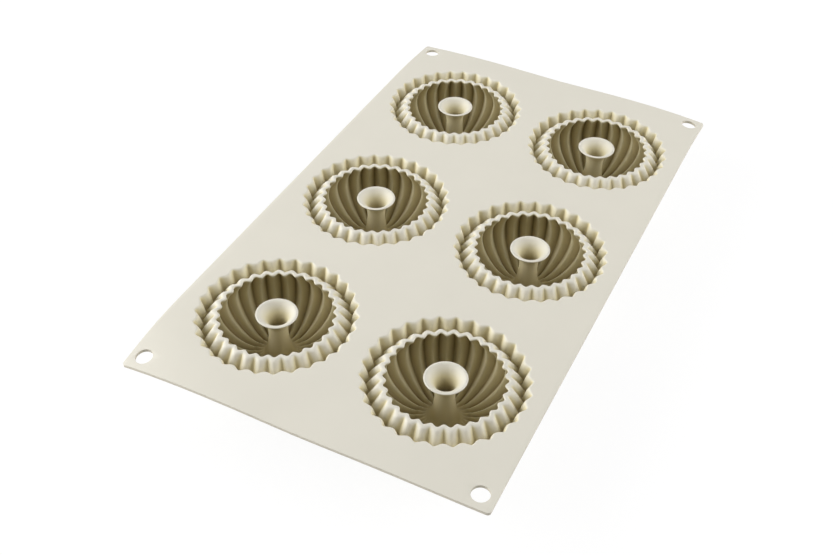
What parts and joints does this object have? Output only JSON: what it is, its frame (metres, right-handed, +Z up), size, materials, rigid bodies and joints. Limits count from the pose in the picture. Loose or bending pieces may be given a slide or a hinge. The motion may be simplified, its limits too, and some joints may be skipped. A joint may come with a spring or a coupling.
{
  "type": "silicone mini ring-cake mould",
  "caption": "Flat silicone sheet with fluted ring-cake cups, each with a hollow trumpet-mouthed centre post, and round hanging holes at the corners.",
  "frame": {"origin": "below the sheet's centre, on the plane of the cups' flat feet", "axes": "+Y along the sheet's long sides, +X across it, +Z up out of the cups' mouths"},
  "size_m": [0.175, 0.3, 0.03],
  "materials": {
    "sheet_silicone": "matte ivory silicone",
    "cup_silicone": "matte ivory silicone",
    "post_silicone": "matte ivory silicone"
  },
  "bodies": {
    "root": {"sheet": "sheet_silicone", "cup_front_left": "cup_silicone", "post_front_left": "post_silicone", "cup_front_right": "cup_silicone", "post_front_right": "post_silicone", "cup_middle_left": "cup_silicone", "post_middle_left": "post_silicone", "cup_middle_right": "cup_silicone", "post_middle_right": "post_silicone", "cup_rear_left": "cup_silicone", "post_rear_left": "post_silicone", "cup_rear_right": "cup_silicone", "post_rear_right": "post_silicone"}
  },
  "joints": []
}
